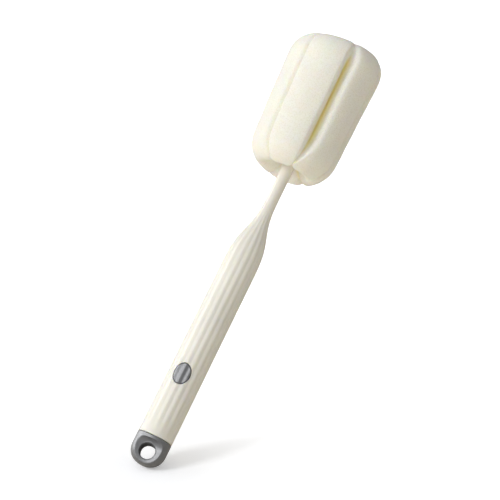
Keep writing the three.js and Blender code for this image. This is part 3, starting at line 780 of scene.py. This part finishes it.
def groove_share(sizes, radius, level, off, half, press, side, shut):
    """Share of the groove's depth at a point: a V with soft edges whose mouth opens up the side."""
    opening = groove_opening(sizes, level, radius, shut) * (1 - press)
    mouth = sizes.half_slit + (sizes.half_mouth - sizes.half_slit) * opening
    soft = np.where(side > 0, sizes.crisp_edge, sizes.soft_edge) * (LEAST_SOFT + (1 - LEAST_SOFT) * opening)
    distance = np.hypot(np.maximum(radius * np.sin(half - np.abs(off)), 0.0), FLOOR_SOFT * soft)
    shallow = 1 - TOP_SHALLOWING * smooth(SHALLOW_START, 1.0, level)
    depth = (LEAST_DEEP + (1 - LEAST_DEEP) * opening) * shallow

    def rise(x):
        return (np.hypot(mouth - x, soft) + mouth - x) / 2

    return rise(distance) / rise(0.0) * depth


def lobe_columns(sizes):
    """For each column of points: its lobe, counted to the right from the front one, its place across the
    lobe from -1 to 1, 1 or -1 on even or odd lobes, how far its groove is pressed and how far it shuts."""
    part = np.tile(np.linspace(-1, 1, LOBE_STEPS, endpoint=False), sizes.lobes)
    part = np.sign(part) * (1 - (1 - np.abs(part)) ** LOBE_BUNCHING)
    lobe = np.repeat(np.arange(sizes.lobes), LOBE_STEPS)
    side = np.where(lobe % 2 == 0, 1.0, -1.0)
    left = ((lobe == 0) & (part < 0)) | ((lobe == sizes.lobes - 1) & (part > 0))
    rear = ((lobe == 1) & (part > 0)) | (lobe == 2) | ((lobe == 3) & (part < 0))
    press = np.where(left, sizes.press * smooth(0.0, PRESS_SHARE, np.abs(part)), 0.0)
    return lobe, part, side, press, np.where(rear, sizes.rear_shut, 1.0)


def settle(sizes, points, out, level):
    """Gives the foam its waves, tilt, arch and lean, all of which set in outside the bore."""
    bore = sizes.mouth / 2
    swell = sum(size * waves(points, *wave) for size, *wave in (BROAD_WAVE, FINE_WAVE))
    fade = smooth(bore, bore + FADE_OVER, out)
    points[..., :2] *= (1 + swell * fade / np.maximum(out, MM))[..., None]
    near = 1 - smooth(0.0, NEAR_SHARE, level)
    across, back = points[..., 0], points[..., 1]
    arch = sizes.arch * (2 * across / sizes.low_diameter) ** 2
    rise = sizes.tilt * across * level + (sizes.low_tilt * across - sizes.rock * back + arch) * near
    points[..., 2] += rise * fade
    points[..., 0] -= (sizes.lean * sizes.length * level + sizes.aside) * fade
    points[-1] = points[-1].mean(axis=0)


class BRUSH_OT_sponge(bpy.types.Operator):
    """Makes the foam head: six lobes, deep grooves, dimpled ends, a bore for the hidden socket"""

    bl_idname = "cupbrush.sponge"
    bl_label = "Foam head"

    def execute(self, context):
        settings = context.scene.cup_brush
        sizes = settings.foam
        low = HANDLE_HIGH.z - sizes.overlap
        high, middle = low + sizes.length, low + sizes.length / 2
        lobe, part, side, press, shut = lobe_columns(sizes)
        shrink_out = 2 * sizes.groove_depth / sizes.high_diameter
        shrink_up = 2 * sizes.dimple / sizes.length
        bore = sizes.mouth / 2
        start = np.full(part.shape, bore)
        half = lobe_half(sizes, 0.0, side, shut)
        for _ in range(MOUTH_TRIES):
            share = groove_share(sizes, start, 0.0, part * half, half, press, side, shut)
            start = bore / (1 - share * shrink_out)
        radius, height = crest_profile(sizes, low, high, start)
        level = (height - low) / sizes.length
        half = lobe_half(sizes, level, side, shut)
        share = groove_share(sizes, radius, level, part * half, half, press, side, shut)
        out = radius * (1 - share * shrink_out)
        up = middle + (height - middle) * (1 - share * shrink_up)
        points = about_axis(out, lobe * 2 * np.pi / sizes.lobes + part * half, up)
        settle(sizes, points, out, level)
        edge, core = points[0, :, :2], CORE_HIGH.x + GAP
        core_low, core_high = CORE_LOW.z - GAP, CORE_HIGH.z + GAP
        reach = np.array([0.0, core, core, bore])[:, None, None]
        rise = np.array([core_high, core_high, core_low, core_low])[:, None, None]
        inside = reach * edge / np.linalg.norm(edge, axis=1)[:, None]
        inside = np.concatenate([inside, rise + np.zeros((len(rise), len(part), 1))], -1)
        shell = Shell()
        shell.rings(np.concatenate([inside, points]))
        # Painted shade mask: the groove's share of depth on the outside and 1 on the hidden bore, where the
        # foam finish turns the colour warmer and darker
        shell.depth = np.concatenate([np.ones(inside.shape[:2]), share]).ravel()
        material = foam(settings.finish.foam)
        piece = make_piece("foam_head", shell, material, "sponge_head", ["sponge"], crease=80.0)
        return {"FINISHED"}


# Small pieces

# Grip ring: points of its section and round it, and height of the faceted section in diameters
SECTION_STEPS, RING_STEPS, SECTION_SHARE = 25, 96, math.sin(math.radians(60))
# Rod's seal and ejector tip: points round, bores, edges and depth of the tip's cup
TIP_STEPS, TIP_EDGE_STEPS = 72, 8
SEAL_BORE, SEAL_EDGE = 1.55 * MM, 0.25 * MM
TIP_EDGE, TIP_FOOT, TIP_CUP, TIP_CUP_DEPTH = 0.6 * MM, 0.2 * MM, 1.54 * MM, 1.6 * MM
# Spring: radius of the wire, turns, points along a turn and round the wire
COIL_WIRE, COIL_TURNS, COIL_STEPS, WIRE_STEPS = 0.35 * MM, 6, 40, 14


class BRUSH_OT_neck_rings(bpy.types.Operator):
    """Makes the small turned pieces at the neck's tip: grip ring, rod seal and ejector tip"""

    bl_idname = "cupbrush.neck_rings"
    bl_label = "Neck tip rings"

    def execute(self, context):
        finish = context.scene.cup_brush.finish
        rubber = black_rubber(finish.rubber)
        around = np.linspace(0, 2 * np.pi, SECTION_STEPS)
        half = (RING_HIGH.z - RING_LOW.z) / 2 / SECTION_SHARE
        reach = RING_HIGH.x - half * (1 - np.cos(around))
        ring = Shell()
        ring.rings(turned_points(reach, RING_Z + half * np.sin(around), RING_STEPS))
        make_piece("neck_grip_ring", ring, rubber, "handle", ["grip_ring"])
        seal = Shell()
        inner, outer, low, top = SEAL_BORE, SEAL_HIGH.x, SEAL_LOW.z, SEAL_HIGH.z
        seal.rings(turned_points(
            [inner, inner, inner + SEAL_EDGE, outer - SEAL_EDGE, outer, outer, inner],
            [low, top - SEAL_EDGE, top, top, top - SEAL_EDGE, low, low],
            TIP_STEPS,
        ))
        make_piece("neck_rod_seal", seal, rubber, "handle", ["rod_seal"])
        tip = Shell()
        reach, low, top = TIP_HIGH.x, TIP_LOW.z, TIP_HIGH.z
        floor = low + TIP_CUP_DEPTH
        short, deep = rounding(0.0, TIP_EDGE_STEPS)
        tip.rings(turned_points(
            [0, TIP_CUP, TIP_CUP, reach - TIP_FOOT, reach, *(reach - TIP_EDGE * deep), 0],
            [floor, floor, low, low, low + TIP_FOOT, *(top - TIP_EDGE * short), top],
            TIP_STEPS,
        ))
        white = white_plastic(finish.white)
        make_piece("rod_ejector_tip", tip, white, "ejector", ["ejector_tip"])
        return {"FINISHED"}


def coil_points(low, high, wire, turns):
    """Round wire along a helix: z rises with the angle, and the wire's circle lies in the axis's plane."""
    angle = np.linspace(0.0, 2 * np.pi * turns, turns * COIL_STEPS)
    angle = np.concatenate([angle[:1], angle, angle[-1:]])[:, None]
    thick = np.full(angle.shape, wire)
    thick[0] = thick[-1] = 0.0
    across = np.linspace(0.0, 2 * np.pi, WIRE_STEPS, endpoint=False)
    reach = high.x - wire + thick * np.cos(across)
    rise = low.z + wire + (high.z - low.z - 2 * wire) * angle / angle[-1]
    return np.stack([reach * np.cos(angle), reach * np.sin(angle), rise + thick * np.sin(across)], -1)


class BRUSH_OT_return_coil(bpy.types.Operator):
    """Makes the coil spring round the rod at one fixed length, though the real spring shortens as the rod
    goes forward
    """

    bl_idname = "cupbrush.return_coil"
    bl_label = "Return spring"

    def execute(self, context):
        steel = bright_steel(context.scene.cup_brush.finish.steel)
        coil = Shell()
        coil.rings(coil_points(SPRING_LOW, SPRING_HIGH, COIL_WIRE, COIL_TURNS))
        piece = make_piece("return_coil", coil, steel, "handle", ["return_spring"])
        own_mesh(piece)
        return {"FINISHED"}


class BRUSH_OT_release_parts(bpy.types.Operator):
    """Gives the pieces inside the handle and the head their finishes"""

    bl_idname = "cupbrush.release_parts"
    bl_label = "Inner pieces"

    def execute(self, context):
        finish = context.scene.cup_brush.finish
        looks = {
            white_plastic(finish.white): ("release_carrier", "cam_block", "sponge_core"),
            bright_steel(finish.steel): ("push_rod", "spring_washer"),
            black_rubber(finish.rubber): ("cap_seal",),
        }
        for material, nodes in looks.items():
            for node in nodes:
                slots = frame["nodes"][node].data.materials
                slots.clear()
                slots.append(material)
        return {"FINISHED"}


# Finishes

# Colour inputs of a Mix node and its colour output
MIX_COLOURS, MIX_RESULT = slice(6, 8), 2


class Nodes:
    """Shorthand for building the node tree of a material or of a world."""

    def __init__(self, name, kind="Material"):
        store = bpy.data.materials if kind == "Material" else bpy.data.worlds
        coordinate = "Object" if kind == "Material" else "Generated"
        self.owner = store.get(name) or store.new(name)
        self.owner.use_nodes = True
        self.tree = self.owner.node_tree
        self.tree.nodes.clear()
        self.output = self.tree.nodes.new("ShaderNodeOutput" + kind)
        self.place = self.tree.nodes.new("ShaderNodeTexCoord").outputs[coordinate]

    def node(self, kind, inputs=None, **settings):
        """Adds a node, sets its fields and links or sets its inputs."""
        made = self.tree.nodes.new("ShaderNode" + kind)
        for field, value in settings.items():
            setattr(made, field, value)
        for socket, value in (inputs or {}).items():
            if isinstance(value, bpy.types.NodeSocket):
                self.tree.links.new(value, made.inputs[socket])
            else:
                made.inputs[socket].default_value = value
        return made

    def noise(self, scale, detail=2.0, roughness=0.5):
        """Noise on object coordinates, scale in features for each metre."""
        inputs = {"Vector": self.place, "Scale": scale, "Detail": detail, "Roughness": roughness}
        return self.node("TexNoise", inputs).outputs["Fac"]

    def math(self, operation, first, second):
        """Joins two values, such as by their sum, their product or the greater one."""
        return self.node("Math", {0: first, 1: second}, operation=operation).outputs[0]

    def vector(self, operation, other):
        """Number from the place and another vector, such as their distance."""
        return self.node("VectorMath", {0: self.place, 1: other}, operation=operation).outputs["Value"]

    def rays(self):
        """Whether the camera sees the spot itself, and whether it shows in gloss or through a clear piece."""
        path = self.node("LightPath").outputs
        gloss = self.math("MAXIMUM", path["Is Glossy Ray"], path["Is Transmission Ray"])
        return path["Is Camera Ray"], gloss

    def spread(self, value, low, high, low_in=0.3, high_in=0.7):
        """Maps a value, by default the usual range of noise, on to a new range."""
        inputs = {"Value": value, "From Min": low_in, "From Max": high_in, "To Min": low, "To Max": high}
        return self.node("MapRange", inputs).outputs["Result"]

    def tint(self, factor, dark, light):
        """Mixes two colours, fixed or from other nodes, by a factor."""
        made = self.node("Mix", {"Factor": factor}, data_type="RGBA")
        for socket, shade in zip(made.inputs[MIX_COLOURS], (dark, light)):
            if isinstance(shade, bpy.types.NodeSocket):
                self.tree.links.new(shade, socket)
            else:
                socket.default_value = (*shade, 1.0)
        return made.outputs[MIX_RESULT]

    def bump(self, height, strength, distance):
        """Bump from a height field."""
        inputs = {"Height": height, "Strength": strength, "Distance": distance}
        return self.node("Bump", inputs).outputs["Normal"]

    def surface(self, inputs):
        """Ends the tree in one surface shader."""
        return self.finish(self.node("BsdfPrincipled", inputs))

    def finish(self, shader):
        """Joins the shader to the output and hands back the material or world."""
        self.tree.links.new(shader.outputs[0], self.output.inputs["Surface"])
        return self.owner


def scaled(shade, factor):
    """A colour made lighter or darker."""
    return tuple(min(1.0, channel * factor) for channel in shade)


def cream_plastic(shade):
    """Satin moulded cream plastic: faint clouding, uneven gloss and a fine skin."""
    nodes = Nodes("cream_plastic")
    cloud = nodes.spread(nodes.noise(45.0, 3.0), 0.0, 1.0)
    skin = nodes.noise(2600.0, 2.0, 0.6)
    return nodes.surface({
        "Base Color": nodes.tint(cloud, scaled(shade, 0.975), scaled(shade, 1.02)),
        "Roughness": nodes.spread(nodes.noise(160.0, 3.0), 0.33, 0.43),
        "Normal": nodes.bump(skin, 0.06, 0.00008),
        "IOR": 1.49,
        "Specular IOR Level": 0.18,
        "Subsurface Weight": 0.3,
        "Subsurface Radius": (0.0055, 0.0040, 0.0018),
        "Subsurface Scale": 1.0,
    })


def grey_plastic(shade):
    """Matt grey plastic with a fine spark-eroded grain, and painted shade that darkens the colour inside the
    hanging hole.
    """
    nodes = Nodes("grey_plastic")
    grain = nodes.noise(3400.0, 3.0, 0.65)
    cloud = nodes.spread(nodes.noise(120.0, 3.0), 0.0, 1.0)
    depth = nodes.node("Attribute", attribute_name="depth").outputs["Fac"]
    skin = nodes.tint(cloud, scaled(shade, 0.94), scaled(shade, 1.05))
    polish = nodes.spread(nodes.noise(420.0, 3.0), 0.42, 0.52)
    matt = nodes.spread(depth, 0.0, 0.5, 0.0, 1.0)
    return nodes.surface({
        # Painted shade: the colour mixes up to 70% of the way towards a quarter of its brightness where the
        # depth mask marks the hanging hole
        "Base Color": nodes.tint(nodes.spread(depth, 0.0, 0.7, 0.0, 1.0), skin, scaled(shade, 0.25)),
        "Roughness": nodes.math("ADD", polish, matt),
        "Normal": nodes.bump(grain, 0.10, 0.0001),
        "IOR": 1.57,
    })


def foam(shade):
    """Open fine-celled foam: small dark pores, uneven cells, light that soaks in, and painted warm shade deep
    in the grooves.
    """
    nodes = Nodes("foam")
    cells = nodes.node("TexVoronoi", {"Vector": nodes.place, "Scale": 1150.0}).outputs["Distance"]
    pore = nodes.spread(cells, 0.0, 1.0, 0.08, 0.5)
    fine = nodes.noise(1500.0, 4.0, 0.7)
    patch = nodes.spread(nodes.noise(220.0, 4.0, 0.6), 0.0, 1.0)
    speck = nodes.math("MULTIPLY", pore, nodes.spread(fine, 0.55, 1.0))
    blend = nodes.math("MULTIPLY", speck, nodes.spread(patch, 0.8, 1.0, 0.0, 1.0))
    relief = nodes.math("ADD", pore, fine)
    warm = (shade[0] * 0.93, shade[1] * 0.91, shade[2] * 0.83)
    depth = nodes.node("Attribute", attribute_name="depth").outputs["Fac"]
    # Painted shade: a warmer, yellower colour with far less blue, standing in for light bounced about deep in
    # the grooves
    deep = (shade[0] * 1.05, shade[1] * 0.91, shade[2] * 0.35)
    skin = nodes.tint(blend, warm, scaled(shade, 1.04))
    return nodes.surface({
        # The painted groove shade sets in where the depth mask passes 0.42 and reaches 90% at the groove's
        # floor
        "Base Color": nodes.tint(nodes.spread(depth, 0.0, 0.9, 0.42, 1.0), skin, deep),
        "Roughness": nodes.spread(fine, 0.88, 0.98),
        "Normal": nodes.bump(relief, 0.32, 0.0004),
        "IOR": 1.4,
        "Specular IOR Level": 0.2,
        "Subsurface Weight": 0.6,
        "Subsurface Radius": (0.0085, 0.0062, 0.0030),
        "Subsurface Scale": 1.0,
        "Sheen Weight": 0.08,
        "Sheen Roughness": 0.6,
    })


def white_plastic(shade):
    """Satin natural-white plastic of the hidden mouldings."""
    nodes = Nodes("white_plastic")
    cloud = nodes.spread(nodes.noise(140.0, 3.0), 0.0, 1.0)
    return nodes.surface({
        "Base Color": nodes.tint(cloud, scaled(shade, 0.95), scaled(shade, 1.03)),
        "Roughness": nodes.spread(nodes.noise(500.0, 2.0), 0.42, 0.55),
        "Normal": nodes.bump(nodes.noise(2500.0, 2.0), 0.08, 0.0001),
        "IOR": 1.49,
    })


def black_rubber(shade):
    """Black rubber with a dusty, uneven bloom."""
    nodes = Nodes("black_rubber")
    bloom = nodes.spread(nodes.noise(700.0, 4.0, 0.6), 0.0, 1.0)
    return nodes.surface({
        "Base Color": nodes.tint(bloom, scaled(shade, 0.8), scaled(shade, 1.7)),
        "Roughness": nodes.spread(bloom, 0.6, 0.8, 0.0, 1.0),
        "Normal": nodes.bump(nodes.noise(3000.0, 2.0), 0.15, 0.0001),
        "IOR": 1.5,
    })


def bright_steel(shade):
    """Drawn steel: fine lines along the wire and uneven polish."""
    nodes = Nodes("bright_steel")
    stretched = nodes.node("Mapping", {"Vector": nodes.place, "Scale": (1.0, 1.0, 0.03)}).outputs["Vector"]
    lines = nodes.node("TexNoise", {"Vector": stretched, "Scale": 4000.0, "Detail": 2.0}).outputs["Fac"]
    return nodes.surface({
        "Base Color": nodes.tint(lines, scaled(shade, 0.88), scaled(shade, 1.08)),
        "Metallic": 1.0,
        "Roughness": nodes.spread(lines, 0.22, 0.38),
        "Normal": nodes.bump(lines, 0.1, 0.00005),
    })


# Stage

# Floor: paint that the camera sees and that lights the brush, half size in metres and lines across
FLOOR_SEEN, FLOOR_BOUNCE, FLOOR_HALF, FLOOR_LINES = (0.87, 0.884, 0.912), (0.93, 0.865, 0.75), 3.0, 13
# Floor's glow to the camera and in gloss: from and to a strength, between two distances from the tail
FLOOR_GLOW, FLOOR_GLOSS = (0.34, 1.0, 0.03, 0.22), (0.0, 0.34, 0.2, 0.8)
# World: least and most light, the side it comes from as right, up and back, and its tint on the far side
WORLD_LOW, WORLD_HIGH, WORLD_SIDE, WORLD_FAR = 0.08, 0.75, (-0.7, 0.4, 0.65), (1.0, 0.95, 0.86)
# World in gloss: from and to a share, between two cosines to the camera's view
WORLD_GLOSS, WHITE = (0.0, 1.0, 0.1, 0.6), (1.0, 1.0, 1.0)
# Camera: sensor in millimetres, nearest and farthest in metres
SENSOR, CLIP = 36.0, (0.05, 20.0)
# Lamps: name, place right, up and back of the aim and size in metres, watts, and whether matt light counts
LAMPS = (
    ("key_light", (-1.65, 0.95, 1.35), 0.7, 19.0, True),
    ("rim_light", (-2.0, 0.7, -0.9), 1.2, 2.5, True),
    ("side_gloss", (-2.1, 0.8, -0.3), 2.2, 115.0, False),
    ("front_gloss", (-1.25, 0.55, 1.85), 1.8, 85.0, False),
)


def floor_paint(touch):
    """White floor that keeps the shadow: lit paint, neutral to the camera and warm in the light it throws
    back, plus a white that only the camera and gloss see, which grows with the distance from the tail."""
    nodes = Nodes("stage_floor")
    camera, gloss = nodes.rays()
    away = nodes.vector("DISTANCE", touch)
    seen = nodes.math("MULTIPLY", camera, nodes.spread(away, *FLOOR_GLOW))
    shown = nodes.math("MULTIPLY", gloss, nodes.spread(away, *FLOOR_GLOSS))
    glow = nodes.math("MAXIMUM", seen, shown)
    light = nodes.node("Emission", {"Color": (*WHITE, 1.0), "Strength": glow})
    lit = nodes.node("BsdfDiffuse", {"Color": nodes.tint(camera, FLOOR_BOUNCE, FLOOR_SEEN)})
    both = nodes.node("AddShader", {0: lit.outputs[0], 1: light.outputs[0]})
    clear = nodes.node("BsdfTransparent")
    back = nodes.node("NewGeometry").outputs["Backfacing"]
    return nodes.finish(nodes.node("MixShader", {0: back, 1: both.outputs[0], 2: clear.outputs[0]}))


def white_world(towards, ahead):
    """World that is white behind the brush for the camera and gloss, and lights it softly from one side."""
    nodes = Nodes("studio", "World")
    camera, gloss = nodes.rays()
    behind = nodes.vector("DOT_PRODUCT", ahead)
    seen = nodes.math("MAXIMUM", camera, nodes.math("MULTIPLY", gloss, nodes.spread(behind, *WORLD_GLOSS)))
    side = nodes.vector("DOT_PRODUCT", towards)
    level = nodes.spread(seen, nodes.spread(side, WORLD_LOW, WORLD_HIGH, -1.0, 1.0), 1.0, 0.0, 1.0)
    near = nodes.math("MAXIMUM", nodes.spread(side, 0.0, 1.0, -1.0, 1.0), seen)
    hue = nodes.tint(near, WORLD_FAR, WHITE)
    return nodes.finish(nodes.node("Background", {"Color": hue, "Strength": level}))


class BRUSH_OT_stage(bpy.types.Operator):
    """Makes the camera at the picture's angle, the soft lights, the white floor and the white world"""

    bl_idname = "cupbrush.stage"
    bl_label = "Stage"

    def execute(self, context):
        scene, stage = context.scene, context.scene.cup_brush.stage
        scene.view_settings.view_transform = "Standard"
        turn, tilt, lean = stage.azimuth, -stage.tilt, stage.lean
        back = Vector((math.sin(turn) * math.cos(tilt), -math.cos(turn) * math.cos(tilt), math.sin(tilt)))
        level = Vector((math.cos(turn), math.sin(turn), 0.0))
        upright = back.cross(level)
        up = upright * math.cos(lean) - level * math.sin(lean)
        right = level * math.cos(lean) + upright * math.sin(lean)
        aim = Vector((0.0, 0.0, stage.aim_height)) + level * stage.aim_side
        axes = (right, up, back)
        turned = Matrix(axes).transposed()
        camera = bpy.data.objects.new("camera", bpy.data.cameras.new("camera"))
        camera.data.lens = stage.lens
        camera.data.sensor_width = SENSOR
        camera.data.clip_start, camera.data.clip_end = CLIP
        camera.matrix_world = Matrix.Translation(aim + back * stage.distance) @ turned.to_4x4()
        scene.collection.objects.link(camera)
        scene.camera = camera
        for lamp in LAMPS:
            self.add_lamp(scene, aim, axes, *lamp)
        scene.world = white_world(self.along(axes, WORLD_SIDE).normalized(), -back)
        self.add_floor(scene, stage, up, back, right)
        return {"FINISHED"}

    def along(self, axes, shares):
        """Vector made of shares of three axes."""
        return sum((axis * share for axis, share in zip(axes, shares)), Vector())

    def add_lamp(self, scene, aim, axes, name, place, size, power, diffuse):
        """Square soft light at a place given right, up and back from the aim, turned to the aim."""
        lamp = bpy.data.lights.new(name, "AREA")
        lamp.size, lamp.energy = size, power
        offset = self.along(axes, place)
        facing = offset.to_track_quat("Z", "Y").to_matrix().to_4x4()
        made = bpy.data.objects.new(name, lamp)
        made.matrix_world = Matrix.Translation(aim + offset) @ facing
        made.visible_diffuse = diffuse
        scene.collection.objects.link(made)

    def add_floor(self, scene, stage, up, back, right):
        """Flat floor that touches the tail, level in the picture's own upright."""
        normal = np.array(up * math.cos(stage.floor_angle) + back * math.sin(stage.floor_angle))
        mesh = bpy.data.objects["hanging_cap"].data
        points = np.empty(len(mesh.vertices) * 3)
        mesh.vertices.foreach_get("co", points)
        points = points.reshape(-1, 3)
        touch = points[np.argmin(points @ normal)]
        side = np.array(right)
        ahead = np.cross(normal, side)
        share = np.linspace(-FLOOR_HALF, FLOOR_HALF, FLOOR_LINES)
        across, along = np.meshgrid(share, share, indexing="ij")
        spread = touch + across[..., None] * side + along[..., None] * ahead
        numbers = np.arange(across.size).reshape(across.shape)
        quads = np.stack([numbers[:-1, :-1], numbers[1:, :-1], numbers[1:, 1:], numbers[:-1, 1:]], -1)
        mesh = bpy.data.meshes.new("floor")
        mesh.from_pydata(spread.reshape(-1, 3).tolist(), [], quads.reshape(-1, 4).tolist())
        mesh.materials.append(floor_paint(tuple(touch)))
        floor = bpy.data.objects.new("floor", mesh)
        scene.collection.objects.link(floor)


class BRUSH_PT_panel(bpy.types.Panel):
    """Lists the brush's pieces"""

    bl_idname = "BRUSH_PT_panel"
    bl_label = "Cup brush"
    bl_space_type = "VIEW_3D"
    bl_region_type = "UI"
    bl_category = "Cup brush"

    def draw(self, context):
        for operator in OPERATORS:
            self.layout.operator(operator.bl_idname)


OPERATORS = (
    BRUSH_OT_handle, BRUSH_OT_button, BRUSH_OT_end_cap, BRUSH_OT_sponge, BRUSH_OT_neck_rings,
    BRUSH_OT_return_coil, BRUSH_OT_release_parts, BRUSH_OT_stage,
)
CLASSES = (
    HandleSizes, ButtonSizes, CapSizes, FoamSizes, Finishes, StageSettings, CupBrushSettings,
    *OPERATORS, BRUSH_PT_panel,
)


def register():
    for item in CLASSES:
        bpy.utils.register_class(item)
    bpy.types.Scene.cup_brush = bpy.props.PointerProperty(type=CupBrushSettings)


def unregister():
    del bpy.types.Scene.cup_brush
    for item in reversed(CLASSES):
        bpy.utils.unregister_class(item)


def main():
    """Registers the add-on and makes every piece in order."""
    register()
    bpy.ops.cupbrush.handle()
    bpy.ops.cupbrush.button()
    bpy.ops.cupbrush.end_cap()
    bpy.ops.cupbrush.sponge()
    bpy.ops.cupbrush.neck_rings()
    bpy.ops.cupbrush.return_coil()
    bpy.ops.cupbrush.release_parts()
    bpy.ops.cupbrush.stage()


if __name__ == "__main__":
    main()
